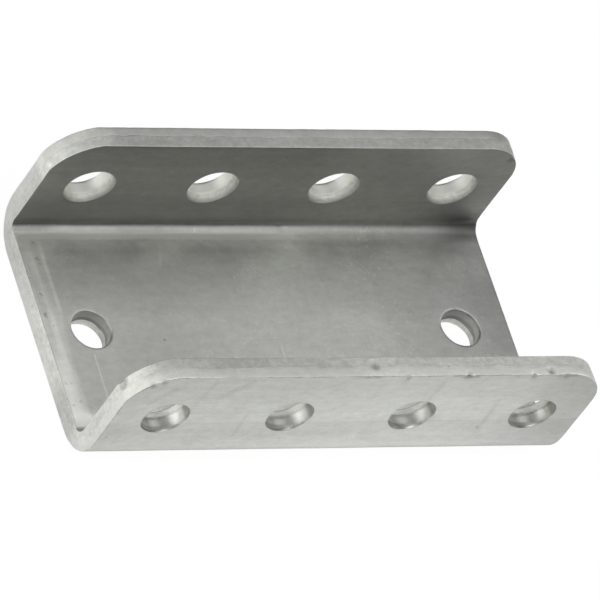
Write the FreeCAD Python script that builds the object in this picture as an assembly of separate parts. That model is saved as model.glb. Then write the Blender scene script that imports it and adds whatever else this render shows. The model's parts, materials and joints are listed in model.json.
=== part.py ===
import FreeCAD, Part
import os

# Adjustable bracket: one steel plate, folded into an open channel and punched with holes.
# Millimetres. +X runs along the channel, +Y across it and +Z up out of its mouth.
# The origin is the middle of the footprint, on the underside of the web.

# Plate and section
plate_thickness = 8.5
inner_width = 90.0
flange_height = 58.2
bend_inner_radius = 4.0
# The outside of the fold is drawn out rounder than inner radius plus plate.
bend_outer_radius = 16.0

# Rows of holes in the two flanges
hole_pitch = 50.8
holes_per_flange = 4
end_margin = 21.3
flange_hole_height = 32.4
flange_hole_diameter = 18.0

# Holes in the web
web_hole_diameter = 16.0
web_hole_from_left = 19.2
web_hole_from_right = 21.0

# Free corners of the flanges
left_corner_leg = 15.5
left_corner_radius = 21.0
right_corner_radius = 17.5

# Marks that punching and shearing leave
punch_lead_in = 0.3
break_out_depth = 3.0
flange_break_out_growth = 0.6
web_break_out_growth = 0.3
outer_edge_rounding = 0.9
inner_edge_rounding = 0.3

# Worked out from the sizes above
length = 2 * end_margin + (holes_per_flange - 1) * hole_pitch
left_end = -length / 2
right_end = length / 2
outer_half_width = inner_width / 2 + plate_thickness
inner_half_width = inner_width / 2

# How far a cutting tool runs past the plate, and the slack when faces are compared
overrun = 2.0
tolerance = 1e-4

X_AXIS = FreeCAD.Vector(1, 0, 0)
Y_AXIS = FreeCAD.Vector(0, 1, 0)
Z_AXIS = FreeCAD.Vector(0, 0, 1)


def line(start, end):
    return Part.makeLine(start, end)


def arc(start, middle, end):
    return Part.Arc(start, middle, end).toShape()


def on_arc(centre, radius, toward):
    """The point of a circle that lies in one direction from its centre."""
    return centre + FreeCAD.Vector(toward).normalize() * radius


def bend(side, web_level, half_width, radius):
    """One folded corner of the section, as its flange end, its middle and its web end."""
    centre = FreeCAD.Vector(left_end, side * (half_width - radius), web_level + radius)
    flange_point = centre + Y_AXIS * side * radius
    web_point = centre - Z_AXIS * radius
    middle = on_arc(centre, radius, Y_AXIS * side - Z_AXIS)
    return flange_point, middle, web_point


def channel_section():
    """The closed outline of the folded plate, drawn at the channel's left end."""
    outer_left = bend(-1, 0, outer_half_width, bend_outer_radius)
    outer_right = bend(1, 0, outer_half_width, bend_outer_radius)
    inner_left = bend(-1, plate_thickness, inner_half_width, bend_inner_radius)
    inner_right = bend(1, plate_thickness, inner_half_width, bend_inner_radius)

    def rim(y):
        return FreeCAD.Vector(left_end, y, flange_height)

    edges = [
        line(rim(-outer_half_width), outer_left[0]),
        arc(*outer_left),
        line(outer_left[2], outer_right[2]),
        arc(*reversed(outer_right)),
        line(outer_right[0], rim(outer_half_width)),
        line(rim(outer_half_width), rim(inner_half_width)),
        line(rim(inner_half_width), inner_right[0]),
        arc(*inner_right),
        line(inner_right[2], inner_left[2]),
        arc(*reversed(inner_left)),
        line(inner_left[0], rim(-inner_half_width)),
        line(rim(-inner_half_width), rim(-outer_half_width)),
    ]
    return Part.Face(Part.Wire(edges))


def across_both_flanges(outline):
    """A profile at mid width, widened into a tool that cuts both flanges alike."""
    reach = outer_half_width + overrun
    face = Part.Face(Part.Wire(outline))
    face.translate(Y_AXIS * -reach)
    return face.extrude(Y_AXIS * 2 * reach)


def corner_tool(end, inward, leg, middle):
    """What is sheared off a free corner: the corner square outside one arc."""
    foot = FreeCAD.Vector(end, 0, flange_height - leg)
    top = FreeCAD.Vector(end + inward * leg, 0, flange_height)
    past_top = top + Z_AXIS * overrun
    past_corner = FreeCAD.Vector(end - inward * overrun, 0, flange_height + overrun)
    past_foot = foot - X_AXIS * inward * overrun
    outline = [
        arc(foot, middle, top),
        line(top, past_top),
        line(past_top, past_corner),
        line(past_corner, past_foot),
        line(past_foot, foot),
    ]
    return across_both_flanges(outline)


def left_corner_tool():
    """A wide arc that meets the free edge and the end at a slight kink."""
    leg = left_corner_leg
    radius = left_corner_radius
    half_chord = leg / 2 ** 0.5
    rise = (radius ** 2 - half_chord ** 2) ** 0.5
    inward_and_down = (X_AXIS - Z_AXIS).normalize()
    chord_middle = FreeCAD.Vector(left_end + leg / 2, 0, flange_height - leg / 2)
    centre = chord_middle + inward_and_down * rise
    middle = centre - inward_and_down * radius
    return corner_tool(left_end, 1, leg, middle)


def right_corner_tool():
    """A quarter round that runs smoothly into the free edge and the end."""
    radius = right_corner_radius
    centre = FreeCAD.Vector(right_end - radius, 0, flange_height - radius)
    middle = on_arc(centre, radius, X_AXIS + Z_AXIS)
    return corner_tool(right_end, -1, radius, middle)


def skin_faces(solid, half_width, web_level, bend_radius):
    """The faces of one side of the plate: web, two bends and two flanges."""
    faces = []
    for face in solid.Faces:
        box = face.BoundBox
        flat_on_flange = box.YLength < tolerance and abs(abs(box.YMin) - half_width) < tolerance
        flat_on_web = box.ZLength < tolerance and abs(box.ZMin - web_level) < tolerance
        bent = isinstance(face.Surface, Part.Cylinder)
        bent = bent and abs(face.Surface.Radius - bend_radius) < tolerance
        bent = bent and abs(face.Surface.Axis.dot(X_AXIS)) > 1 - tolerance
        if flat_on_flange or flat_on_web or bent:
            faces.append(face)
    return faces


def rim_of(faces):
    """The edges round the outside of a set of joined faces."""
    edges = [edge for face in faces for edge in face.Edges]
    return [edge for edge in edges if sum(edge.isSame(other) for other in edges) == 1]


def ease_edges(solid):
    """Round the sheared edges: more on the outer side of the plate, little on the inner."""
    outer = skin_faces(solid, outer_half_width, 0, bend_outer_radius)
    solid = solid.makeFillet(outer_edge_rounding, rim_of(outer))
    inner = skin_faces(solid, inner_half_width, plate_thickness, bend_inner_radius)
    return solid.makeFillet(inner_edge_rounding, rim_of(inner))


def punch_tool(diameter, break_out_growth):
    """The shape of a punched hole: entered at the origin, leaving along +Z.

    The punch bevels the entry edge, cuts a straight land and tears the last stretch wider.
    """
    radius = diameter / 2
    entry_radius = radius + punch_lead_in
    exit_radius = radius + break_out_growth
    land_end = plate_thickness - break_out_depth
    past_exit = plate_thickness + overrun
    corners = [
        (0, -overrun),
        (entry_radius, -overrun),
        (entry_radius, 0),
        (radius, punch_lead_in),
        (radius, land_end),
        (exit_radius, plate_thickness),
        (exit_radius, past_exit),
        (0, past_exit),
    ]
    outline = [FreeCAD.Vector(distance, 0, depth) for distance, depth in corners]
    face = Part.Face(Part.makePolygon(outline + outline[:1]))
    return face.revolve(FreeCAD.Vector(), Z_AXIS, 360)


def punched(tool, point, direction):
    """A copy of a punch tool that enters at a point and leaves along a direction."""
    copy = tool.copy()
    copy.Placement = FreeCAD.Placement(point, FreeCAD.Rotation(Z_AXIS, direction))
    return copy


def flange_holes():
    """A row of holes in each flange, in line across the channel, punched from outside."""
    tool = punch_tool(flange_hole_diameter, flange_break_out_growth)
    holes = []
    for index in range(holes_per_flange):
        x = left_end + end_margin + index * hole_pitch
        for side in (-1, 1):
            entry = FreeCAD.Vector(x, side * outer_half_width, flange_hole_height)
            holes.append(punched(tool, entry, Y_AXIS * -side))
    return holes


def web_holes():
    """Two holes on the web's centre line, punched from inside the channel."""
    tool = punch_tool(web_hole_diameter, web_break_out_growth)
    places = (left_end + web_hole_from_left, right_end - web_hole_from_right)
    return [punched(tool, FreeCAD.Vector(x, 0, plate_thickness), -Z_AXIS) for x in places]


def channel_bracket():
    """The whole bracket: folded, corners sheared, edges eased and holes punched."""
    body = channel_section().extrude(X_AXIS * length)
    body = body.cut([left_corner_tool(), right_corner_tool()])
    body = ease_edges(body.Solids[0])
    body = body.cut(flange_holes() + web_holes())
    return body.Solids[0]


bracket = channel_bracket()
os.makedirs("parts", exist_ok=True)
bracket.exportStep("parts/channel_bracket.step")
size = bracket.optimalBoundingBox(False)
print("channel_bracket", "valid" if bracket.isValid() else "not valid", len(bracket.Faces), "faces")
print("size", round(size.XLength, 2), round(size.YLength, 2), round(size.ZLength, 2))
print("volume in cubic centimetres", round(bracket.Volume / 1000, 2))
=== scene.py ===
# %% [markdown]
# # A folded steel bracket in Blender
# The object is an open channel, folded from one thick steel plate. Two rows of punched holes in
# its flanges take a cross bolt at several places, and two more holes bolt its web down. The
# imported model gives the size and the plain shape. This lesson makes the plate again with the
# marks that shearing, punching and folding leave, and gives it a steel finish, light and a camera.

import json
import math
from collections import namedtuple
from functools import cached_property
from types import SimpleNamespace

import bmesh
import bpy
import numpy as np
from mathutils import Matrix, Vector, geometry, kdtree, noise


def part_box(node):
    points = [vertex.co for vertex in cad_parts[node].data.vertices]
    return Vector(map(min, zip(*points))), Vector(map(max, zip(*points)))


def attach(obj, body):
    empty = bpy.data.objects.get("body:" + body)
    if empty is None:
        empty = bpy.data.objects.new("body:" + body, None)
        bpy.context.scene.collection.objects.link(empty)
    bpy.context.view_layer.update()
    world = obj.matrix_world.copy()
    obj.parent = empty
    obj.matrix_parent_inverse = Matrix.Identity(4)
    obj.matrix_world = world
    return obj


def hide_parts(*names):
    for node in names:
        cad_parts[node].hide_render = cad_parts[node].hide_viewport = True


MM = 0.001

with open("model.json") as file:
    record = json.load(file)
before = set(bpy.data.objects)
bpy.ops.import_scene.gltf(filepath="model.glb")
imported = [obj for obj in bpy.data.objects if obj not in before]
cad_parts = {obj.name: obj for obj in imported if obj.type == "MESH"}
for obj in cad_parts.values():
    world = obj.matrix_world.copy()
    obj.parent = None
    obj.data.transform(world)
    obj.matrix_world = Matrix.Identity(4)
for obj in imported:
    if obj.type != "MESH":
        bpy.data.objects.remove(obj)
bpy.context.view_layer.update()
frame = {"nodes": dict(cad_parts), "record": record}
steel_node = frame["nodes"]["channel_bracket"]
low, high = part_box("channel_bracket")
print("bracket in millimetres", [round((b - a) / MM, 1) for a, b in zip(low, high)])

# %% [markdown]
# ## Sizes from the record
# The plate's mesh and its finish both have to know where the holes are. The record lists the
# bolt holes as mounts, with their places and radii. Reading them from there, and not writing the
# numbers again, keeps this lesson in line with the solid when a size changes.

# %% Read the hole rows from the record, in millimetres
mounts = {mount["name"]: mount for mount in frame["record"]["mounts"]}
cross_bolts = [mounts[name] for name in sorted(mounts) if name.startswith("cross_bolt")]
hole_xs = [bolt["pos_m"][0] / MM for bolt in cross_bolts]
hole_pitch = hole_xs[1] - hole_xs[0]
hole_height = cross_bolts[0]["pos_m"][2] / MM
hole_radius = cross_bolts[0]["dims"]["r_mm"]
web_bolts = mounts["web_bolts"]
web_middle = web_bolts["pos_m"][0] / MM
web_spacing = web_bolts["dims"]["spacing_x_mm"]
web_hole_radius = web_bolts["dims"]["hole_r_mm"]
plate = web_bolts["pos_m"][2] / MM
print("plate", round(plate, 2), "mm, holes at", [round(x, 1) for x in hole_xs])

# %% [markdown]
# ## The camera
# The picture was taken with a long lens from the front left, and the picture itself is turned,
# so the channel's length rises to the right. Three angles, a distance and a lens say all of
# this: the camera looks at one point near the middle of the bracket, and rolls about its own axis.

# %% Place the camera
VIEW_TURN = math.radians(46.81)
VIEW_DROP = math.radians(45.80)
VIEW_ROLL = math.radians(37.20)
VIEW_DISTANCE = 2.9173
VIEW_TARGET = Vector((-0.0015, -0.0005, 0.0277))

camera_data = bpy.data.cameras.new("studio_camera")
camera_data.lens = 486.2
camera_data.sensor_width = 36
camera_data.clip_end = 20
camera = bpy.data.objects.new("studio_camera", camera_data)
bpy.context.scene.collection.objects.link(camera)
bpy.context.scene.camera = camera

forward = Vector((
    math.sin(VIEW_TURN) * math.cos(VIEW_DROP),
    math.cos(VIEW_TURN) * math.cos(VIEW_DROP),
    -math.sin(VIEW_DROP),
))
level_right = forward.cross(Vector((0, 0, 1))).normalized()
level_up = level_right.cross(forward)
right = level_right * math.cos(VIEW_ROLL) + level_up * math.sin(VIEW_ROLL)
up = right.cross(forward)
turned = Matrix((right, up, -forward)).transposed().to_4x4()
camera.matrix_world = Matrix.Translation(VIEW_TARGET - forward * VIEW_DISTANCE) @ turned
print("camera at", [round(c, 3) for c in camera.matrix_world.translation])

# %% [markdown]
# ## The real plate is not as clean as its drawing
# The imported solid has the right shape, but a punch and a shear leave more behind than a solid
# with plain faces can hold: a rolled lip where the blade went in, a smooth land, a ragged line
# where the steel gave way, and a coarse torn band below it. This lesson makes that plate again as
# one fine mesh. It works as the shop does: cut and punch a flat blank, and then fold it.

# %% Sizes of the blank, in millimetres
half_length = high.x / MM
outer_half_width = high.y / MM
flange_top = high.z / MM
BEND_OUTER = 16.0
BEND_INNER = 4.0
LEFT_CORNER_LEG = 15.5
LEFT_CORNER_RADIUS = 21.0
RIGHT_CORNER_RADIUS = 17.5

web_flat = outer_half_width - BEND_OUTER
bend_run = math.pi / 2 * BEND_OUTER
blank_half = web_flat + bend_run + flange_top - BEND_OUTER
hole_row = web_flat + bend_run + hole_height - BEND_OUTER
print("flat blank", round(2 * half_length, 1), "by", round(2 * blank_half, 1), "mm")


# %% [markdown]
# Folding is one function from the flat blank to the channel. A point of the blank has three
# numbers: x along the channel, s across the blank, and its depth below the outer skin. A bend
# modifier would turn both skins about one centre. Here inside and outside turn about different
# centres, because a thick plate thins as it is drawn round.

# %% Fold the blank
def folded(x, s, depth):
    """Where points of the flat blank land in the folded channel, in metres."""
    side, reach = np.sign(s), np.abs(s)
    turn = np.clip((reach - web_flat) / bend_run, 0, 1)
    on_web = np.minimum(reach, web_flat)
    on_flange = np.maximum(reach - web_flat - bend_run, 0)
    angle = turn * math.pi / 2
    outer_y = on_web + BEND_OUTER * np.sin(angle)
    outer_z = BEND_OUTER * (1 - np.cos(angle)) + on_flange

    run_in = outer_half_width - plate - BEND_INNER - web_flat
    run_up = BEND_OUTER - plate - BEND_INNER
    arc = math.pi / 2 * BEND_INNER
    way = turn * (run_in + arc + run_up)
    angle = np.clip(way - run_in, 0, arc) / BEND_INNER
    inner_y = on_web + np.minimum(way, run_in) + BEND_INNER * np.sin(angle)
    inner_z = plate + BEND_INNER * (1 - np.cos(angle)) + np.maximum(way - run_in - arc, 0)
    inner_z = inner_z + on_flange

    share = depth / plate
    y = side * (outer_y + (inner_y - outer_y) * share)
    z = outer_z + (inner_z - outer_z) * share
    return np.stack((x, y, z), axis=-1) * MM


print("the blank's edge folds to", (folded(0.0, blank_half, 0.0) / MM).round(2).tolist())

# %% [markdown]
# The outline of the blank is walked once, as a chain of short steps. The two left corners are
# sheared to a wide arc that meets its neighbours at a slight kink. The right ones are true
# quarter rounds. A hole is a circle walked in the same way. Steps of one length along straight
# and round stretches alike keep the triangles beside a cut even.

# %% Walk the cut lines
STEP = 0.75
arc_back = math.sqrt(LEFT_CORNER_RADIUS ** 2 - LEFT_CORNER_LEG ** 2 / 2) / math.sqrt(2)
left_centre = (-half_length + LEFT_CORNER_LEG / 2 + arc_back, blank_half - LEFT_CORNER_LEG / 2 - arc_back)
right_centre = (half_length - RIGHT_CORNER_RADIUS, blank_half - RIGHT_CORNER_RADIUS)


def straight(start, end):
    """Points of a straight stretch, without the last point."""
    count = max(2, round(math.dist(start, end) / STEP))
    share = np.linspace(0, 1, count, endpoint=False)[:, None]
    return np.array(start) * (1 - share) + np.array(end) * share


def curved(centre, radius, first, last):
    """Points of an arc from one angle to another, without the last point."""
    count = max(2, round(abs(last - first) * radius / STEP))
    angles = np.linspace(first, last, count, endpoint=False)
    return np.array(centre) + radius * np.stack((np.cos(angles), np.sin(angles)), axis=-1)


def circle(centre, radius):
    return curved(centre, radius, 0, 2 * math.pi)


def half_outline(side):
    """The blank's edge on one side, from the middle of its left end to the middle of its right."""
    leg = LEFT_CORNER_LEG
    spread = math.asin(leg / math.sqrt(2) / LEFT_CORNER_RADIUS)
    middle = side * math.pi * 3 / 4
    centre = (left_centre[0], side * left_centre[1])
    round_centre = (right_centre[0], side * right_centre[1])
    return np.concatenate((
        straight((-half_length, 0), (-half_length, side * (blank_half - leg))),
        curved(centre, LEFT_CORNER_RADIUS, middle + side * spread, middle - side * spread),
        straight((-half_length + leg, side * blank_half), (right_centre[0], side * blank_half)),
        curved(round_centre, RIGHT_CORNER_RADIUS, side * math.pi / 2, 0),
        straight((half_length, side * right_centre[1]), (half_length, 0)),
    ))


def outline():
    """The edge of the blank, walked once round with the metal on the right."""
    back_again = half_outline(-1)[::-1][:-1]
    return np.concatenate((half_outline(1), [[half_length, 0]], back_again))


def into_metal(path):
    """Unit vectors across a closed cut line that point into the metal."""
    along = np.roll(path, -1, axis=0) - np.roll(path, 1, axis=0)
    along /= np.linalg.norm(along, axis=1)[:, None]
    return np.stack((along[:, 1], -along[:, 0]), axis=-1)


edge_path = outline()
print("cut line of", len(edge_path), "steps")


# %% [markdown]
# No cut line on the real plate is straight or evenly round. A table of random shifts would leave
# it jagged, so the shifts come from smooth noise, which has bumps of one size and always gives
# the same value at the same place.

# %% Noise for shapes
NOISE_GAIN = 1.6


def uneven(points, size, seed=0.0):
    """Smooth noise of about -1 to 1 at points in millimetres, with bumps of about one size."""
    return NOISE_GAIN * np.array([noise.noise((x / size + seed, s / size, seed)) for x, s in points])


def wandering(points, layers, seed):
    """Noise of several sizes, added up. A layer is an amount, a bump size and a seed step."""
    return sum(amount * uneven(points, size, seed + step) for amount, size, step in layers)


edge_noise = uneven(edge_path, 5.0)
print("noise along the edge from", round(edge_noise.min(), 2), "to", round(edge_noise.max(), 2))


# %% [markdown]
# The blank grows row by row, so something has to keep its points, its faces, and what the finish
# must know about each point. Points could be added to a Blender mesh one by one, but whole rows
# of numbers are quicker to make, and folding wants all points in one array.

# %% The blank as one growing mesh
class Blank:
    """Points of the flat blank with the marks that the finish reads, and the faces between them."""

    def __init__(self):
        self.places = []
        self.marks = []
        self.faces = []
        self.count = 0

    def add(self, x, s, depth, cut, tear, hole):
        """Add points and return their numbers. The last three say what each is part of."""
        columns = np.broadcast_arrays(x, s, depth)
        self.places.append(np.stack(columns, axis=-1))
        self.marks.append(np.stack(np.broadcast_arrays(columns[0] * 0 + cut, tear, hole), axis=-1))
        numbers = np.arange(self.count, self.count + len(columns[0]))
        self.count += len(numbers)
        return numbers

    def ribbon(self, first, second):
        """Faces between two closed rows of points."""
        next_first, next_second = np.roll(first, -1), np.roll(second, -1)
        self.faces += np.stack((first, next_first, next_second, second), axis=-1).tolist()


# %% [markdown]
# Every cut has the same bands. The tool presses the skin into a rolled lip and shears a smooth
# land. Then the rest breaks away along a ragged line, and leaves a torn band that ends in a small
# round. A boolean cut would give one plain wall, so each band is a few rows of points along the
# cut line. A cut says how wide and deep its lip is, how deep the land ends, how far the torn band
# steps back at its start and at its end, and how coarse it is.

# %% The bands of a cut, in millimetres
Cut = namedtuple("Cut", "lip_width lip_depth land_end ledge growth coarse")
SHEARED = Cut(0.5, 0.5, 3.9, 0.0, 0.22, 0.03)
FAR_HOLE = Cut(0.45, 1.6, 5.4, 0.10, 0.85, 0.06)
NEAR_HOLE = Cut(0.45, 1.6, 5.4, 0.10, 0.40, 0.06)
WEB_HOLE = Cut(0.45, 1.9, 5.4, 0.06, 0.05, 0.06)
ROLL_ROWS = 6
LAND_ROWS = 3
TEAR_ROWS = 6
EXIT_ROWS = 3
EXIT_ROLL = 0.28
BREAK_HEIGHT = 0.3
LEAST_LIP = 0.3
LIP_WANDER = ((0.28, 7.0, 0), (0.12, 1.6, 3))
LAND_WANDER = ((0.35, 5.0, 5), (0.14, 1.3, 7), (0.35, 26.0, 9))
BUMP_SIZE = 1.5
BUMP_SHIFT = 2.3
CRUMB_SIZE = 0.9
CRUMB_SHARE = 0.6


def torn_surface(path, row, seed):
    """How far one row of the torn band stands back: bumps, with finer crumbs on them."""
    bumps = uneven(path + row * BUMP_SHIFT, BUMP_SIZE, seed + 11)
    crumbs = uneven(path - row, CRUMB_SIZE, seed + 13)
    return bumps + CRUMB_SHARE * crumbs


def cut_rows(path, shape, seed):
    """Rows from skin to skin, each with its inset, its depth and its marks for cut and tear."""
    lip = np.maximum(1 + wandering(path, LIP_WANDER, seed), LEAST_LIP)
    land = shape.land_end + wandering(path, LAND_WANDER, seed)
    rows = []
    for index in range(ROLL_ROWS + 1):
        share = index / ROLL_ROWS
        angle = share * math.pi / 2
        inset = shape.lip_width * lip * (1 - math.sin(angle))
        rows.append((inset, shape.lip_depth * lip * (1 - math.cos(angle)), share, 0))
    lip_end = rows[-1][1]
    for index in range(1, LAND_ROWS + 1):
        rows.append((0 * lip, lip_end + (land - lip_end) * index / LAND_ROWS, 1, 0))
    tear_start, exit_start = land + BREAK_HEIGHT, plate - EXIT_ROLL
    for index in range(1, TEAR_ROWS + 1):
        inset = shape.ledge + (shape.growth - shape.ledge) * index / TEAR_ROWS
        inset = inset + shape.coarse * torn_surface(path, index, seed)
        depth = tear_start + (exit_start - tear_start) * (index - 1) / (TEAR_ROWS - 1)
        rows.append((inset, depth, 1, 1))
    torn_end = rows[-1][0]
    for index in range(1, EXIT_ROWS + 1):
        share = index / EXIT_ROWS
        angle = share * math.pi / 2
        inset = torn_end + EXIT_ROLL * (1 - math.cos(angle))
        rows.append((inset, exit_start + EXIT_ROLL * math.sin(angle) + 0 * inset, 1 - share, 1 - share))
    return rows


print("each cut has", len(cut_rows(edge_path, SHEARED, 0.0)), "rows of points")

# %% [markdown]
# A cut's rows are joined to a wall, and its first and last rows become rims that the skins start
# from. The flanges were punched from outside and the web from inside, so a wall can also be
# laid in upside down, from the inner skin. The land of a hole starts a little inside the radius
# that the record gives, because its lip and its torn band widen it again.

# %% Lay a cut's wall through the plate
Rim = namedtuple("Rim", "path across inset numbers")


def cut_wall(blank, path, shape, hole, from_inside, seed):
    """Add the wall of one cut. It returns its rim on the outer and on the inner skin."""
    across = into_metal(path)
    rows = cut_rows(path, shape, seed)
    numbers = []
    for inset, depth, cut, tear in rows:
        point = path + across * inset[:, None]
        level = plate - depth if from_inside else depth
        numbers.append(blank.add(point[:, 0], point[:, 1], level, cut, tear, float(hole)))
    for first, second in zip(numbers, numbers[1:]):
        blank.ribbon(first, second)
    entry = Rim(path, across, rows[0][0], numbers[0])
    leave = Rim(path, across, rows[-1][0], numbers[-1])
    return (leave, entry) if from_inside else (entry, leave)


LAND_TIGHT = 0.3
blank = Blank()
cuts = [cut_wall(blank, edge_path, SHEARED, False, False, 1.0)]
every_hole = []
for hole_x in hole_xs:
    for side in (-1, 1):
        centre = (hole_x, side * hole_row)
        every_hole.append((centre, hole_radius))
        path = circle(centre, hole_radius - LAND_TIGHT)
        hole_cut = FAR_HOLE if side > 0 else NEAR_HOLE
        cuts.append(cut_wall(blank, path, hole_cut, True, False, 20.0 + hole_x + side))
for side in (-1, 1):
    centre = (web_middle + side * web_spacing / 2, 0)
    every_hole.append((centre, web_hole_radius))
    path = circle(centre, web_hole_radius - LAND_TIGHT)
    cuts.append(cut_wall(blank, path, WEB_HOLE, True, True, 60.0 + side))
print(len(cuts), "cuts with", blank.count, "points")

# %% [markdown]
# The two skins fill the space between the rims. A plain grid can't meet a round hole, and one
# large face can't bend. So points on a grid that is closer in the bends, and rings of points
# that run beside each rim, are joined by a Delaunay triangulation, which keeps the rims as they
# are and leaves the holes open.

# %% Where a skin has points
GRID = 2.0
BEND_GRID = 1.4
# Each ring is a gap from its rim, and how many steps of the rim lie between its points
RINGS = ((0.8, 1), (1.9, 2))
GRID_CLEAR = 2.8
RIM_CLEAR = 0.5


def grid_lines():
    """Even lines across the blank, with closer ones round the bends."""
    half = [0.0]
    flange_run = blank_half - web_flat - bend_run
    for run, spacing in ((web_flat, GRID), (bend_run, BEND_GRID), (flange_run, GRID)):
        count = max(2, round(run / spacing))
        half += [half[-1] + run / count * (k + 1) for k in range(count)]
    along = np.linspace(-half_length, half_length, round(2 * half_length / GRID) + 1)
    return along, sorted(half + [-value for value in half[1:]])


def inside_outline(x, s):
    """Whether a point of the blank lies within its outline and outside every hole."""
    if any(math.dist((x, s), centre) < radius for centre, radius in every_hole):
        return False
    s = abs(s)
    if x > right_centre[0] and s > right_centre[1]:
        return math.dist((x, s), right_centre) < RIGHT_CORNER_RADIUS
    if x + half_length < LEFT_CORNER_LEG and s > blank_half - LEFT_CORNER_LEG:
        return math.dist((x, s), left_centre) < LEFT_CORNER_RADIUS
    return True


def points_between(rims, rim_points):
    """Points of the rings and of the grid that stay clear of the rims."""
    tree = kdtree.KDTree(len(rim_points))
    for index, point in enumerate(rim_points):
        tree.insert((*point, 0), index)
    tree.balance()

    def gap_to_rim(point):
        return tree.find((*point, 0))[2]

    rings = []
    for rim in rims:
        for gap, every in RINGS:
            rings += (rim.path + rim.across * (rim.inset + gap)[:, None])[::every].tolist()
    along, lines = grid_lines()
    grid = [[x, s] for x in along for s in lines if gap_to_rim((x, s)) > GRID_CLEAR and inside_outline(x, s)]
    return np.array([point for point in rings + grid if gap_to_rim(point) > RIM_CLEAR])


print("grid of", *(len(lines) for lines in grid_lines()), "lines")

# %% [markdown]
# The triangulation is asked for triangles inside its constraints, which are the rims' edges. It
# still fills the holes, because it can't tell a hole from metal. A triangle whose three
# corners lie on one hole's rim can only be such a filling, so it is dropped.

# %% Fill a skin
INSIDE_CONSTRAINTS = 1
MERGE_DISTANCE = 1e-5


def skin(blank, rims, depth):
    """Add the triangles of one skin between the outline and the holes."""
    rim_points, numbers, edges = [], [], []
    for rim in rims:
        start, count = len(numbers), len(rim.numbers)
        rim_points += (rim.path + rim.across * rim.inset[:, None]).tolist()
        numbers += rim.numbers.tolist()
        edges += [(start + k, start + (k + 1) % count) for k in range(count)]
    extra = points_between(rims, rim_points)
    numbers += blank.add(extra[:, 0], extra[:, 1], depth, 0, 0, 0).tolist()
    points = [Vector(point) for point in rim_points + extra.tolist()]
    result = geometry.delaunay_2d_cdt(points, edges, [], INSIDE_CONSTRAINTS, MERGE_DISTANCE)
    triangles, sources = result[2], result[3]
    origin = [numbers[source[0]] for source in sources]
    rim_of = {number: index for index, rim in enumerate(rims) for number in rim.numbers.tolist()}

    def covers_hole(triangle):
        """Whether all corners lie on one hole's rim. The outline and points on no rim are 0."""
        touched = {rim_of.get(origin[corner], 0) for corner in triangle}
        return len(touched) == 1 and touched != {0}

    kept = [triangle for triangle in triangles if not covers_hole(triangle)]
    blank.faces += [[origin[corner] for corner in triangle] for triangle in kept]
    print("skin at depth", round(depth, 2), "has", len(kept), "triangles from", len(points), "points")


skin(blank, [outer for outer, inner in cuts], 0.0)
skin(blank, [inner for outer, inner in cuts], plate)

# %% [markdown]
# A rolled plate is never quite flat, and folding squeezes steel out at both ends of the inner
# side of a bend. Both are slow shifts of the blank's points, so they are added before it is
# folded. A subdivided mesh with a displace modifier could wave too, but it would blur the rims.

# %% Wave, squeeze and fold
WAVE = 0.05
OUTER_WAVE_SIZE = 24.0
INNER_WAVE_SIZE = 19.0
SQUEEZE = 0.5
SQUEEZE_WIDTH = 7.0
SQUEEZE_REACH = 9.0


def as_folded(flat):
    """The places of the blank's points once the plate is waved, squeezed and folded."""
    x, s, depth = flat.T
    share = depth / plate
    outer_wave = WAVE * (1 + np.clip(uneven(flat[:, :2], OUTER_WAVE_SIZE, 90.0), -1, 1))
    inner_wave = WAVE * (1 + np.clip(uneven(flat[:, :2], INNER_WAVE_SIZE, 95.0), -1, 1))
    depth = depth + outer_wave * (1 - share) - inner_wave * share
    from_bend = np.abs(s) - web_flat - bend_run / 2
    squeeze = SQUEEZE * np.exp(-(from_bend / SQUEEZE_WIDTH) ** 2) * share
    near_end = np.clip((np.abs(x) - half_length + SQUEEZE_REACH) / SQUEEZE_REACH, 0, 1) ** 2
    return folded(x + np.sign(x) * squeeze * near_end, s, depth)


flat_points = np.concatenate(blank.places)
folded_points = as_folded(flat_points)
print("folded to", (np.ptp(folded_points, axis=0) / MM).round(2).tolist(), "mm")

# %% [markdown]
# Steel this thick gets knocked in the pile, mostly on its edges and corners. A knock is a small
# push of the points near one place, which fades out with distance, so the dent and its soft rim
# are real form. Most knocks are painted darker, and one is painted brighter.

# %% Knocks, each a place, a push and a reach in millimetres
DARKENED, BRIGHTENED = 1, -1
KNOCK_STEEPNESS = 1.25
Knock = namedtuple("Knock", "place push reach tone", defaults=[DARKENED])
KNOCKS = [
    Knock((-97.6, -46.2, 44.2), (1.7, 0.0, -0.7), 2.9),
    Knock((-90.5, -53.3, 53.0), (0.3, 0.5, -0.5), 1.8),
    Knock((-87.0, -53.4, 55.2), (0.2, 0.5, -0.5), 1.6),
    Knock((-1.2, -48.5, 58.2), (0.0, 0.1, -0.5), 2.4),
    Knock((11.8, -53.4, 57.2), (0.0, 0.4, -0.4), 1.6),
    Knock((36.8, -53.3, 57.7), (0.0, 0.4, -0.4), 2.4),
    Knock((64.3, -53.4, 57.6), (0.0, 0.5, -0.5), 1.8),
    Knock((71.8, -51.3, 58.2), (0.0, 0.1, -0.5), 2.0),
    Knock((78.1, -53.5, 56.9), (0.0, 0.5, -0.4), 2.0),
    Knock((12.6, 43.9, 9.9), (0.0, 0.3, -0.4), 1.8),
    Knock((-97.3, 46.8, 43.6), (-0.4, -0.4, 0.3), 1.8, BRIGHTENED),
    Knock((91.9, 45.3, 51.6), (-0.4, 0.4, -0.4), 2.2),
]

knocked = np.zeros(len(folded_points))
for knock in KNOCKS:
    distance = np.linalg.norm(folded_points / MM - np.array(knock.place), axis=1)
    soft = np.clip(KNOCK_STEEPNESS * (1 - distance / knock.reach), 0, 1)
    folded_points += soft[:, None] * np.array(knock.push) * MM
    knocked += soft * knock.tone
print(len(KNOCKS), "knocks moved", int((knocked != 0).sum()), "points")

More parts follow.
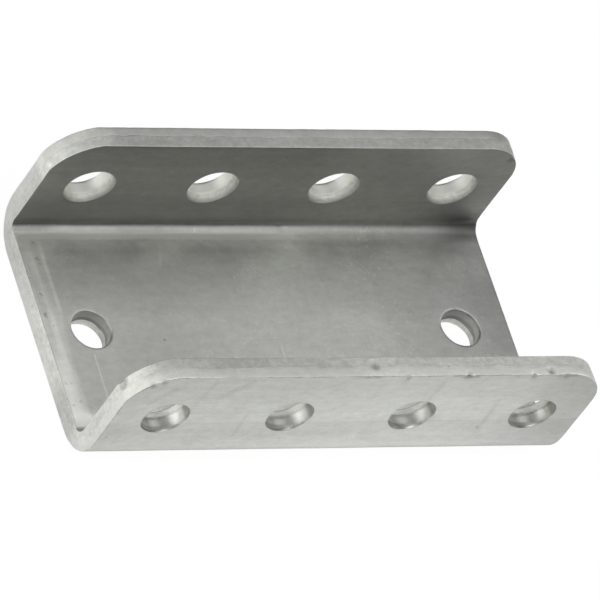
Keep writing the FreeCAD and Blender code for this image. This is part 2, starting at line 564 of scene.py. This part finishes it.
# %% [markdown]
# The points and faces now become one mesh. Each point keeps its marks as named attributes, which
# the finish reads: whether it is part of a cut, of the torn band, of a hole or of a knock, and how
# far through the plate it lies. The plate is closed, so no edge may be open, and its volume can be
# set against the solid's. It replaces the node that it stands for, and rides on its body.

# %% Make the plate's mesh
piece_mesh = bpy.data.meshes.new("folded_plate")
piece_mesh.from_pydata(folded_points.tolist(), [], blank.faces)
cut_mark, tear_mark, hole_mark = np.concatenate(blank.marks).T
marks = {"cut": cut_mark, "tear": tear_mark, "hole": hole_mark,
         "through": flat_points[:, 2] / plate, "knock": knocked}
for name, values in marks.items():
    layer = piece_mesh.attributes.new(name, "FLOAT", "POINT")
    layer.data.foreach_set("value", values.astype(np.float32))

shell = bmesh.new()
shell.from_mesh(piece_mesh)
bmesh.ops.recalc_face_normals(shell, faces=shell.faces)
open_edges = sum(not edge.is_manifold for edge in shell.edges)
volume = shell.calc_volume(signed=True) / (10 * MM) ** 3
print("plate mesh", len(shell.verts), "points,", len(shell.faces), "faces,", open_edges, "open edges,",
      "volume", round(volume, 2), "cubic cm")
shell.to_mesh(piece_mesh)
shell.free()
piece_mesh.shade_smooth()

steel_piece = bpy.data.objects.new("folded_plate", piece_mesh)
bpy.context.scene.collection.objects.link(steel_piece)
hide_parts("channel_bracket")
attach(steel_piece, "root")

# %% [markdown]
# ## Shader maths as plain expressions
# A finish is arithmetic on positions, noise and colours. Adding each Math node by hand hides
# that arithmetic, so a small class wraps a socket and overloads the operators. The reflected
# forms let a plain number stand on the left, as in 1 - mask.

# %% A socket that can be calculated with
class Term:
    """One socket of a shader tree, with arithmetic that adds the nodes it needs."""

    def __init__(self, finish, socket):
        self.finish = finish
        self.socket = socket

    def is_spread(self):
        """Whether the socket holds a vector or a colour, and not one number."""
        return self.socket.type in ("VECTOR", "RGBA")

    def __add__(self, other):
        return self.finish.calculate("ADD", self, other)

    def __radd__(self, other):
        return self.finish.calculate("ADD", other, self)

    def __sub__(self, other):
        return self.finish.calculate("SUBTRACT", self, other)

    def __rsub__(self, other):
        return self.finish.calculate("SUBTRACT", other, self)

    def __mul__(self, other):
        return self.finish.calculate("MULTIPLY", self, other)

    def __rmul__(self, other):
        return self.finish.calculate("MULTIPLY", other, self)

    def __truediv__(self, other):
        return self.finish.calculate("DIVIDE", self, other)

    def __rtruediv__(self, other):
        return self.finish.calculate("DIVIDE", other, self)

    def __mod__(self, other):
        return self.finish.calculate("FLOORED_MODULO", self, other)

    def __rmod__(self, other):
        return self.finish.calculate("FLOORED_MODULO", other, self)

    def __abs__(self):
        return self.finish.calculate("ABSOLUTE", self)

    def most(self, other):
        return self.finish.calculate("MAXIMUM", self, other)

    def step(self, start, end):
        """A smooth 0 to 1 as the value goes from start to end, which may be the smaller one."""
        settings = {"interpolation_type": "SMOOTHSTEP"}
        sockets = {"Value": self, "From Min": start, "From Max": end}
        return self.finish.node("ShaderNodeMapRange", settings, sockets)

    def band(self, middle, width, soft):
        """1 within half a width of the middle, fading out over a soft edge."""
        return abs(self - middle).step(width / 2 + soft, width / 2)


# %% [markdown]
# A material is a tree of such sockets that ends in a shader, and so is the light of the room.
# The class below makes such a tree and hands out nodes of any kind through one method. Numbers
# use Math nodes, while vectors and colours use Vector Math, because a Math node would turn a
# colour grey. A Mix node has sockets for every type under the same names, so its colours are
# asked for by number.

# %% A finish: one shader tree and its nodes
MIX_FIRST_COLOUR, MIX_SECOND_COLOUR, MIX_COLOUR_RESULT = 6, 7, 2


class Finish:
    """The shader tree of a material or of the room, whose nodes are made by one method."""

    def __init__(self, owner):
        owner.use_nodes = True
        self.owner = owner
        self.tree = owner.node_tree
        self.tree.nodes.clear()

    def node(self, kind, settings=None, sockets=None, out=0):
        """Add a node: its settings first, then the values or links of its sockets."""
        made = self.tree.nodes.new(kind)
        for name, value in (settings or {}).items():
            setattr(made, name, value)
        for key, value in (sockets or {}).items():
            target = made.inputs[key]
            if isinstance(value, Term):
                self.tree.links.new(value.socket, target)
            elif target.type == "RGBA" and len(value) == 3:
                target.default_value = (*value, 1)
            else:
                target.default_value = value
        return Term(self, made.outputs[out]) if made.outputs else None

    def calculate(self, operation, *values):
        """A Math node, or a Vector Math node where one of the values is a vector or a colour."""
        kind = "ShaderNodeMath"
        if any(isinstance(value, Term) and value.is_spread() for value in values):
            kind = "ShaderNodeVectorMath"
            values = [v if isinstance(v, (Term, tuple)) else (v, v, v) for v in values]
        return self.node(kind, {"operation": operation}, dict(enumerate(values)))

    @cached_property
    def place(self):
        """Where a point lies on the object, in metres."""
        return self.node("ShaderNodeTexCoord", out="Object")

    def noise(self, scale, detail=3, roughness=0.5, stretch=(1, 1, 1), seed=0):
        """Smooth noise of 0 to 1 over the object, with so many bumps a metre."""
        sockets = {"Vector": self.place * stretch + seed, "Scale": scale,
                   "Detail": detail, "Roughness": roughness}
        return self.node("ShaderNodeTexNoise", {}, sockets)

    def mix(self, factor, first, second):
        """The first colour where the factor is 0 and the second where it is 1."""
        sockets = {"Factor": factor, MIX_FIRST_COLOUR: first, MIX_SECOND_COLOUR: second}
        return self.node("ShaderNodeMix", {"data_type": "RGBA"}, sockets, out=MIX_COLOUR_RESULT)

    def mark(self, name):
        """What the mesh stores at its points under one name."""
        return self.node("ShaderNodeAttribute", {"attribute_name": name}, out="Fac")


# %% [markdown]
# ## Bare steel
# The plate is bare steel as it left the press, so one finish has several looks. The rolled skins
# are satin and clouded. The land of a cut is smooth and bright, and the torn band is coarse and
# scatters light. Separate materials would meet in hard borders, so one material fades between its
# looks by masks. They come from the marks on the mesh, and from the place on the plate.

# %% Where each look belongs
def from_nearest(value, first, spacing):
    """How far a place lies from the nearest of an even row."""
    return (value - first + spacing / 2) % spacing - spacing / 2


def zones(steel):
    """Masks of 0 to 1 for the parts of the plate, its places in millimetres, and the places
    round a hole in radii."""
    split = steel.node("ShaderNodeSeparateXYZ", {}, {0: steel.place}).socket.node
    x, y, z = (Term(steel, output) / MM for output in split.outputs)
    cut, tear, hole, through = (steel.mark(name) for name in ("cut", "tear", "hole", "through"))
    wall = cut.step(0.5, 0.8)
    torn = wall * tear.step(0.3, 0.7)
    inside = through.step(0.45, 0.55) * (1 - wall)
    flange = z.step(plate + 1, plate + 3)
    in_flange = hole * z.step(12, 16)
    right_of_hole = from_nearest(x, hole_xs[0], hole_pitch) / hole_radius
    right_of_web_hole = from_nearest(x, web_middle - web_spacing / 2, web_spacing) - y
    return SimpleNamespace(
        x=x, y=y, z=z, near=y.step(0, -1), through=through,
        inside=inside, outside=1 - wall - inside,
        flange_inside=inside * flange, web_inside=inside * (1 - flange),
        wall=wall, torn=torn, land=wall - torn, lip=cut.band(0.35, 0.3, 0.25),
        burr=wall * through.band(0.965, 0.03, 0.02),
        edge=1 - hole, in_flange=in_flange, in_web=hole - in_flange,
        right_of_hole=right_of_hole, left_of_hole=right_of_hole.step(0.45, 0.1),
        above_hole=(z - hole_height) / hole_radius,
        right_of_web_hole=right_of_web_hole / (web_hole_radius * math.sqrt(2)),
    )


# %% [markdown]
# The press leaves larger marks. The inside of each bend is rubbed bright, as the punch of a press
# brake leaves it, and the same band carries a painted highlight that fades towards the right end.
# The root of the far bend carries painted shade. The left end of the web has a pale strip with a
# brighter border, and the far bend's right end carries painted shade. Each is a soft mask,
# because none has a sharp border, and a noise shifts some of them so that they don't look ruled.

# %% Marks of the press
BEND_WANDER = 1.2
STRIP_WANDER = 5.0
STRIP_SLANT = 0.036
web_edge = outer_half_width - plate - BEND_INNER


def press_marks(part, cloud):
    """Masks for the rubbed bends with their painted highlight, the far root's painted shade, the pale strip,
    its border, and the painted shade in the far bend's right end.
    """
    x, y = part.x, part.y
    side = abs(y) + (cloud - 0.5) * BEND_WANDER
    wide_rub, close_rub = side.step(web_edge - 8, web_edge - 3), side.step(web_edge - 3, web_edge - 1)
    below_wall, to_right = side.step(web_edge + 3.4, web_edge + 2.8), x.step(-10, 42)
    # The rubbed band also carries a painted highlight, which fades towards the right end.
    rubbed_and_painted_highlight = (wide_rub * 0.65 + close_rub * 0.75) * part.inside * below_wall * (1 - to_right * 0.85)

    # Painted shade in the root of the far bend, strongest at the left end and weakest at the right.
    far_root_shade = y.step(web_edge + 0.2, web_edge + 2.0) * y.step(web_edge + 3.9, web_edge + 3.3)
    dull_and_shade = far_root_shade * part.inside * (0.50 + x.step(-76, -88) * 0.14 - to_right * 0.22)

    from_left = x + half_length
    wandered = from_left - y * STRIP_SLANT + (cloud - 0.5) * y.step(4, -12) * STRIP_WANDER
    on_web = part.inside * y.step(web_edge + 1, web_edge - 3) * y.step(-web_edge - 4, -web_edge - 3)
    strip = on_web * (wandered.step(9.6, 7.8) * 0.45 + wandered.step(8.6, 2.5) * 0.60)
    border = on_web * from_left.band(9.0, 0.7, 0.7) * y.step(2, 12) * y.step(38, 30)

    # Painted shade in the far bend's right end.
    right_end, at_bend = (half_length - x).step(24, 3), abs(y - web_edge - 1).step(6, 1)
    bend_end_shade = right_end * at_bend * part.inside * part.z.step(20, 12)
    return SimpleNamespace(rubbed_and_painted_highlight=rubbed_and_painted_highlight, dull_and_shade=dull_and_shade, strip=strip, border=border, bend_end_shade=bend_end_shade)


# %% [markdown]
# Smaller marks are straight: scratches on the web, and wipes and short dark dashes down the near
# flange. Each is a stroke between two places, so it can be read and moved by hand.

# %% Scratches, wipes and dashes
# Each stroke has a start, an end and a width, and a scratch also its strength
WEB_SCRATCHES = [
    ((-2.3, -7.2), (-2.3, -14.5), 0.4, 1.0),
    ((-41.5, 27), (-39.8, 33), 0.9, 0.4),
    ((-80.5, -10.5), (-80.8, -37), 0.5, 1.0),
]
NEAR_WIPES = [
    ((-69, 36), (-66, 55), 1.6), ((-43, 20), (-44, 36), 1.2), ((27, 38), (28, 55), 1.5),
    ((58, 22), (57, 43), 1.5), ((-62, 44), (-50, 56), 2.2), ((-88, 41), (-80, 52), 2.0),
]
NEAR_DASHES = [
    ((-10.5, 37), (-9, 37.4), 1.0), ((56, 24), (57.5, 24.6), 1.3), ((89, 32), (90.5, 32.6), 1.0),
    ((11, 55), (12.6, 55.4), 1.1), ((-57, 50), (-56, 50.5), 0.8), ((-11, 57.2), (0.5, 57.5), 0.9),
    ((33.5, 57.1), (41.5, 57.3), 1.1), ((56, 57.2), (58.5, 57.3), 0.9), ((74, 57.5), (83, 57.6), 0.8),
]
FULL_WIDTH_SHARE = 0.3
FADE_BEFORE = 0.5
FADE_AFTER = 1


def stroke(across, up, start, end, width):
    """A straight mark between two places in millimetres, on the plane of two axes."""
    across, up = across - start[0], up - start[1]
    length = math.dist(start, end)
    way = ((end[0] - start[0]) / length, (end[1] - start[1]) / length)
    along = across * way[0] + up * way[1]
    off = abs(across * -way[1] + up * way[0])
    begun = along.step(-FADE_BEFORE, FADE_AFTER)
    not_over = along.step(length + FADE_BEFORE, length - FADE_AFTER)
    return off.step(width, width * FULL_WIDTH_SHARE) * begun * not_over


def handling(part, speckle):
    """Masks for the light scratches on the web, and the dull wipes and dark dashes outside."""
    near = part.outside * part.y.step(-52, -53)
    light = sum(stroke(part.x, part.y, *mark) * strength for *mark, strength in WEB_SCRATCHES)
    # Real wipes that dull the near face.
    dull_and_shade = sum(stroke(part.x, part.z, *mark) for mark in NEAR_WIPES)
    dark = sum(stroke(part.x, part.z, *mark) for mark in NEAR_DASHES)
    broken = 0.35 + speckle.step(0.42, 0.56) * 0.65
    return SimpleNamespace(light=light * part.web_inside, dull_and_shade=dull_and_shade * near, dark=dark * near * broken)


print("strokes", len(WEB_SCRATCHES) + len(NEAR_WIPES) + len(NEAR_DASHES))


# %% [markdown]
# The plate is one steel, but its three flat parts are painted with different light and shade.
# The outer faces are the brightest, the floor of the channel is duller, and the inner walls are
# the darkest. Each starts from one level, which soft masks of painted light and shade raise or
# lower by small shares. A picture wrapped on the plate would hold the same shades, but masks
# stay sharp at any size and can be read: a step goes from one place in millimetres to another.

# %% Painted light and shade of the skins
OUTER_LIT_LEVEL = 0.77
FLOOR_SHADED_LEVEL = 0.57
INNER_WALL_SHADED_LEVEL = 0.368


def outer_face_level(part, middle):
    """The outer faces with painted light and shade: brighter in the middle and low down, darker at both
    ends, high up and towards the free edge, and a paler band at the holes.
    """
    x, z = part.x, part.z
    on_flange = abs(part.y).step(52, 53)
    right_end, left_end = x.step(58, 96), x.step(-84, -97)
    hole_band, upper_band = z.band(32, 4.6, 0.7), z.band(38, 6, 1)
    low, upper, free_edge = z.step(24, 11), z.step(38, 57), z.step(52, 57.5)
    # Painted light in the middle, and painted shade at both ends.
    level = OUTER_LIT_LEVEL + middle * 0.05 - right_end * 0.14 - left_end * 0.05
    level = level * (1 + on_flange * (hole_band * 0.08 + upper_band * 0.03))
    # A painted reflection of the floor brightens the face low down, and painted shade darkens it high up and
    # at the free edge.
    return level * (1 + on_flange * (low * 0.15 - upper * 0.09 - free_edge * 0.07))


def floor_level(part, middle):
    """The channel's floor with painted light and shade: brightest in the middle and along its near side, and
    darker at the right end, in a stripe on the far side, beside a web hole and at the far right.
    """
    x, y = part.x, part.y
    near_side = y.step(-26, -32) * x.step(-84, -78)
    left_part, right_end, far_stripe = x.step(-52, -80), x.step(76, 92), y.band(15, 9, 7)
    beside_web_hole = x.band(58, 8, 14) * y.band(0, 12, 12)
    far_right = x.step(50, 75) * y.step(28, 36)
    # Painted light in the middle, along the near side and at the left, and painted shade at the right end.
    level = FLOOR_SHADED_LEVEL + middle * 0.09 + near_side * 0.12 + left_part * 0.05 - right_end * 0.08
    # Painted shade in a stripe on the far side, beside a web hole and at the far right.
    return level - far_stripe * 0.045 - beside_web_hole * 0.05 - far_right * 0.06


def inner_wall_level(part):
    """The inner walls with painted shade: darker towards the bend, most at the left and not at the right,
    darker at the right end, and with painted light in places at the right.
    """
    x, z = part.x, part.z
    right_end, right_part = x.step(62, 86), x.band(42, 26, 26)
    # Painted shade low down towards the bend, most at the left and none at the right, and painted light low
    # at the right.
    low_shade = 0.33 + x.step(-50, -88) * 0.12 - x.step(0, 60) * 0.33
    low_right = z.step(30, 18) * x.step(66, 80)
    # Painted shade at the right end, and painted light in the right part.
    level = INNER_WALL_SHADED_LEVEL * (1 - right_end * 0.22 + right_part * 0.16)
    return level * (1 - z.step(36, 15) * low_shade) * (1 + low_right * 0.18)


def skin_level(part, press):
    """The brightness of both skins with their painted light and shade, and the marks of the press."""
    # Painted light brightens the middle of the plate.
    middle = abs(part.x - 15).step(70, 8)
    near_half, near_root = part.y.step(12, -20), part.y.step(-40.8, -42.2)
    level = part.outside * outer_face_level(part, middle) + part.web_inside * floor_level(part, middle)
    level = level + part.flange_inside * inner_wall_level(part)
    # The pale strip gets painted light towards the near side and the near root.
    paleness = 0.30 + near_half * 0.14 + near_root * 0.25
    marked = 1 + press.rubbed_and_painted_highlight * 0.62 + press.strip * paleness + press.border * 0.20 - press.bend_end_shade * 0.62
    return level * marked * (1 - press.dull_and_shade)


# %% [markdown]
# The sheared edge runs round the whole plate. Its land is a little brighter than its torn band.
# The far top is duller, while the left end and both left corners carry painted light. A thin
# burr carries a painted highlight where the torn band meets the inner skin.

# %% How bright the sheared edge is
TORN_EDGE_LEVEL = 0.76
LAND_EDGE_LEVEL = 0.80
BURR_PAINTED_HIGHLIGHT = 0.10


def sheared_edge_level(part):
    x, y, z = part.x, part.y, part.z
    near_side, far_side, free_edge = y.step(-36, -46), y.step(20, 40), z.step(52, 56)
    far_top = far_side * z.step(38, 46)
    near_left = near_side * x.step(-80, -92)
    far_left = far_side * x.step(-68, -88) * z.step(34, 42)
    near_top = near_side * free_edge * x.step(-84, -66) * x.step(0, -24)
    left_end = x.step(-94, -97) * abs(y).step(30, 18)
    stained = part.torn * x.band(-56, 19, 4) * near_side * free_edge
    level = part.torn * (TORN_EDGE_LEVEL - far_top * 0.19) + part.land * (LAND_EDGE_LEVEL - far_top * 0.20)
    # Painted light brightens the left end and both left corners.
    level = level * (1 + near_left * 0.22 + far_left * 0.36 - near_top * 0.11 + left_end * 0.12)
    # A painted highlight runs along the burr.
    return part.edge * (level * (1 - stained * 0.08) + part.burr * BURR_PAINTED_HIGHLIGHT)


# %% [markdown]
# The walls of the holes are small, but the eye goes to them. In the near row the right part of a
# wall is bright, and its left part and its top carry painted shade. In the far row painted light
# brightens the land towards the outer skin. The land of a web hole is painted much darker, with
# one darker painted band round it. A few lamps can't give so many shades on so small a wall, so
# the finish holds them as painted light and shade.

# %% Painted light and shade on the holes' walls
TORN_WALL_LEVEL = 0.80
LAND_WALL_LEVEL = 0.95
WEB_TORN_LEVEL = 0.86
WEB_LAND_SHADED_LEVEL = 0.38


def flange_hole_level(part):
    deep, near, far = part.through, part.near, 1 - part.near
    left, top = part.left_of_hole, part.above_hole.step(-0.25, 0.05)
    # Painted shade on the left part and the top of the near holes' land, and painted light on the far holes'
    # land towards the outer skin.
    near_shade = left * (0.18 + deep.step(0.32, 0.2) * 0.26) + top * 0.38
    land = LAND_WALL_LEVEL - near * near_shade + far * deep.step(0.7, 0.1) * 0.3
    # Painted shade on the left of the near torn bands, which are also darker at the inner skin, and on the
    # left of the far ones, with painted light on the far torn bands away from the inner skin.
    near_left = deep.step(0.84, 0.66) * part.right_of_hole.step(0.9, 0.1)
    near_torn = 0.30 - near_left * 0.42 - deep.step(0.93, 0.97) * 0.35
    far_torn = deep.step(0.99, 0.7) * 0.34 - part.right_of_hole.step(0.3, -0.9) * 0.18 - 0.26
    torn = TORN_WALL_LEVEL + near * near_torn + far * far_torn
    return part.in_flange * (part.torn * torn + part.land * land)


def web_hole_level(part):
    from_punch = (1 - part.through) * plate
    # Painted shade: the land of a web hole is dark, lighter on its right, with a darker painted band round
    # it at the break.
    land = WEB_LAND_SHADED_LEVEL + part.right_of_web_hole.step(-0.7, 0.7) * 0.16
    land = land - from_punch.band(4.8, 1.4, 1.0) * 0.16
    return part.in_web * (part.torn * WEB_TORN_LEVEL + part.land * land)


def lip_shade(part):
    """What the rolled lips lose, which is less than nothing where they shine."""
    hole_lip = part.near * (part.left_of_hole * 0.50 + part.above_hole.step(-0.3, 0.1) * 0.40)
    hole_lip = hole_lip - (1 - part.near) * 0.5
    top_lip = part.edge * part.y.step(-40, -50) * part.z.step(50, 56) * 0.45
    return part.lip * (0.05 - top_lip - part.in_web * 0.10 + part.in_flange * (hole_lip - 0.05))


# %% [markdown]
# On top of these even levels lies everything that makes metal look like metal: wide clouds,
# blotches, streaks along the rolling direction and fine grain. They are noises of different
# sizes, and the stretched ones are streaks. All are made once and shared by the colour, the
# roughness and the bump, so that a blotch is a blotch in all three.

# %% Noises of the steel and how they mottle it
def noise_layers(steel):
    return SimpleNamespace(
        cloud=steel.noise(28, detail=4, roughness=0.55),
        blotch=steel.noise(110, detail=5, roughness=0.62, seed=3),
        streak=steel.noise(240, stretch=(0.05, 1, 1), seed=7),
        grain=steel.noise(900, roughness=0.6, seed=11),
        coarse=steel.noise(520, detail=4, roughness=0.65, seed=17),
        pit=steel.noise(330, detail=2, seed=23),
        speckle=steel.noise(430, roughness=0.6, stretch=(0.55, 1, 1), seed=29),
        drawn=steel.noise(330, stretch=(1, 0.07, 1), seed=41),
        speck=steel.noise(420, detail=2, seed=51),
        dust=steel.noise(600, detail=2, seed=57),
        dust_field=steel.noise(45, seed=59),
    )


def mottling(steel, part, layers, press, marks):
    """How much brighter or darker each place is than its even level."""
    strip = press.strip
    dusty = layers.dust.step(0.60, 0.68) * layers.dust_field.step(0.48, 0.60)
    streaks = (layers.streak - 0.5) * (0.22 - part.web_inside * 0.10) * (1 - part.wall)
    wander = (layers.cloud - 0.5) * 0.18 + (layers.blotch - 0.5) * 0.34 + streaks
    wander = wander + (layers.grain - 0.5) * 0.20 + (layers.speckle - 0.5) * 0.30
    wander = wander + (layers.coarse - 0.5) * part.torn * 0.45
    wander = wander + dusty * part.web_inside * (1 - strip) * 0.16
    wander = wander * (1 - strip * 0.2) + (layers.drawn - 0.5) * strip * 0.75
    wander = wander - layers.speck.step(0.62, 0.70) * strip * 0.28
    wander = wander - part.lip * layers.blotch.step(0.5, 0.62) * 0.35
    wander = wander + marks.light * 0.22 - marks.dull_and_shade * 0.07 - marks.dark * 0.28
    # Knocks are painted darker, and brighter where their tone is negative.
    return wander - steel.mark("knock") * 0.30


# %% [markdown]
# Everything meets in one Principled shader. Base Color holds how bright the metal is, with the
# painted light and shade above, and Metallic 1 leaves the rest of the shading to what it mirrors.
# Roughness is higher in the torn bands, in the roots of the bends and on the land of the far holes.
# A small bump adds grain, blotches and pits, which are too fine to be worth points of the mesh.

# %% The steel finish
SKIN_TINT = (0.989, 1.0, 0.95)
INNER_WALL_TINT = (0.987, 1.0, 0.925)
SATIN = 0.42
BUMP_DISTANCE = 0.00012
BUMP_STRENGTH = 0.8


def steel_roughness(part, layers, press):
    root = part.inside * abs(part.y).band(web_edge + 1.5, 5, 3)
    left_corner = part.wall * part.edge * part.x.step(-78, -83) * part.z.step(38, 43)
    far_hole = part.y.step(-1, 1) * 0.18 - 0.02
    rough = SATIN + (layers.cloud - 0.5) * 0.15 + (layers.blotch - 0.5) * 0.12 + (layers.grain - 0.5) * 0.1
    rough = rough + part.torn * 0.22 - press.rubbed_and_painted_highlight * 0.04 + root * 0.10
    return rough + part.land * (0.05 + part.in_flange * far_hole + left_corner * 0.24)


def steel_finish():
    steel = Finish(bpy.data.materials.new("bare_steel"))
    part = zones(steel)
    layers = noise_layers(steel)
    press = press_marks(part, layers.cloud)
    marks = handling(part, layers.speckle)

    level = skin_level(part, press) + sheared_edge_level(part)
    level = (level + flange_hole_level(part) + web_hole_level(part)) * (1 - lip_shade(part))
    pits = layers.pit.step(0.27, 0.22) * layers.blotch.step(0.45, 0.6) * (1 - press.rubbed_and_painted_highlight)
    tone = level * (1 + mottling(steel, part, layers, press, marks)) * (1 - pits * 0.35)
    tint = steel.mix(part.flange_inside, SKIN_TINT, INNER_WALL_TINT)

    height = layers.grain * 0.12 + layers.blotch * 0.5 * (1 - press.rubbed_and_painted_highlight * 0.6)
    height = height + part.torn * layers.coarse * 2.6 + layers.streak * 0.10 * (1 - part.wall) - pits * 0.5
    shader = steel.node("ShaderNodeBsdfPrincipled", {}, {
        "Base Color": steel.mix(tone, (0, 0, 0), tint),
        "Metallic": 1.0,
        "Roughness": steel_roughness(part, layers, press),
        "Normal": steel.node("ShaderNodeBump", {}, {
            "Height": height, "Distance": BUMP_DISTANCE, "Strength": BUMP_STRENGTH}),
    })
    steel.node("ShaderNodeOutputMaterial", {}, {"Surface": shader})
    return steel.owner


bare_steel = steel_finish()
steel_node.data.materials.clear()
steel_node.data.materials.append(bare_steel)
piece_mesh.materials.append(bare_steel)
print("steel finish on", steel_piece.name, "has", len(bare_steel.node_tree.nodes), "nodes")

# %% [markdown]
# ## A white sweep and soft light
# A product picture of bare metal is mostly a picture of what the metal mirrors. The bracket
# stands on white paper. The paper shows itself white to the camera and weaker to reflections, so
# it neither clips nor washes out the steel, and it still takes a faint shadow.

# %% Floor
FLOOR_HALF = 3.0
WHITE = (1, 1, 1)
MATT_PAPER = (0.8, 0.8, 0.8)
PAPER_GLOW = 1.06
SEEN_SHARE = 0.9
MIRRORED_SHARE = 0.27


def paper_finish():
    paper = Finish(bpy.data.materials.new("white_paper"))
    matt = paper.node("ShaderNodeBsdfDiffuse", {}, {"Color": MATT_PAPER})
    glow = paper.node("ShaderNodeEmission", {}, {"Color": WHITE, "Strength": PAPER_GLOW})
    seen, mirrored, passed = (
        paper.node("ShaderNodeLightPath", out=ray)
        for ray in ("Is Camera Ray", "Is Glossy Ray", "Is Transmission Ray"))
    share = (seen * SEEN_SHARE).most(mirrored * MIRRORED_SHARE).most(passed * SEEN_SHARE)
    mixed = paper.node("ShaderNodeMixShader", {}, {0: share, 1: matt, 2: glow})
    paper.node("ShaderNodeOutputMaterial", {}, {"Surface": mixed})
    return paper.owner


corners = [(-1, -1), (1, -1), (1, 1), (-1, 1)]
floor_mesh = bpy.data.meshes.new("floor")
floor_mesh.from_pydata([(a * FLOOR_HALF, b * FLOOR_HALF, 0) for a, b in corners], [], [(0, 1, 2, 3)])
floor = bpy.data.objects.new("floor", floor_mesh)
bpy.context.scene.collection.objects.link(floor)
floor_mesh.materials.append(paper_finish())
print("floor", 2 * FLOOR_HALF, "m square")

# %% [markdown]
# The room around the paper is white to the camera and dim grey to the steel. A white room would
# light the plate from everywhere and flatten it, while a dim one leaves the modelling to the lamps.

# %% Room light
ROOM_GREY = (0.1, 0.1, 0.1)

world = bpy.data.worlds.new("studio_room")
bpy.context.scene.world = world
room = Finish(world)
dim = room.node("ShaderNodeBackground", {}, {"Color": ROOM_GREY})
bright = room.node("ShaderNodeBackground", {}, {"Color": WHITE})
seen = room.node("ShaderNodeLightPath", out="Is Camera Ray")
background = room.node("ShaderNodeMixShader", {}, {0: seen, 1: dim, 2: bright})
room.node("ShaderNodeOutputWorld", {}, {"Surface": background})
print("room at", ROOM_GREY, "with a background at", WHITE)

# %% [markdown]
# Six soft lamps stand round the bracket. Steel shows a lamp as a broad highlight on the faces
# that mirror it, so each lamp was placed for the face that it serves: the high ones for the floor
# of the channel and its outer faces, and the low ones for the edges, the ends and the holes.

# %% Softboxes
LAMP_AIM = Vector((0, 0, 0.03))


def softbox(name, turn, rise, distance, size, power):
    """A square lamp round the bracket: turn is counted from +X towards +Y, rise from the floor."""
    turn, rise = math.radians(turn), math.radians(rise)
    lamp_data = bpy.data.lights.new(name, "AREA")
    lamp_data.size = size
    lamp_data.energy = power
    lamp = bpy.data.objects.new(name, lamp_data)
    bpy.context.scene.collection.objects.link(lamp)
    side = distance * math.cos(rise)
    lamp.location = (side * math.cos(turn), side * math.sin(turn), distance * math.sin(rise))
    lamp.rotation_euler = (LAMP_AIM - lamp.location).to_track_quat("-Z", "Y").to_euler()
    print(name, power, "W")


softbox("high_front_softbox", 270, 60, 0.9, 0.5, 2.72)
softbox("high_back_softbox", 45, 60, 0.9, 0.5, 0.76)
softbox("high_left_softbox", 180, 60, 0.9, 0.5, 1.02)
softbox("low_left_softbox", 180, 12, 1.0, 0.5, 1.40)
softbox("low_back_softbox", 150, 14, 1.0, 0.6, 1.74)
softbox("right_softbox", 0, 30, 1.0, 0.6, 2.20)

# %% [markdown]
# The Standard view shows a colour as it is written, while Blender's default would soften the
# highlights.

bpy.context.scene.view_settings.view_transform = "Standard"
